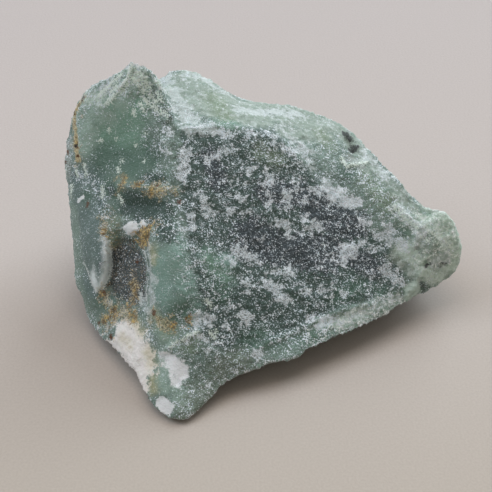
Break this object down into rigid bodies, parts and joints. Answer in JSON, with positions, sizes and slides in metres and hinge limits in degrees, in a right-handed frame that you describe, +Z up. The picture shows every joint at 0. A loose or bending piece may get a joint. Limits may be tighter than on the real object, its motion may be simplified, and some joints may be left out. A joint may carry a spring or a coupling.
{
  "type": "green aventurine specimen",
  "caption": "Rough unpolished lump of green aventurine with a tall crest, a pointed toe and a blunt nose, resting on three small flats.",
  "frame": {"origin": "under the middle of the lump's box, on the surface it rests on", "axes": "+X along the longest side, from the crest to the nose; +Y away from the broad front face; +Z up"},
  "size_m": [0.088, 0.0716, 0.052],
  "materials": {
    "aventurine": "rough broken quartz, frosted and speckled, with waxy smooth breaks and rusty stains"
  },
  "bodies": {
    "root": {"stone": "aventurine"}
  },
  "joints": []
}
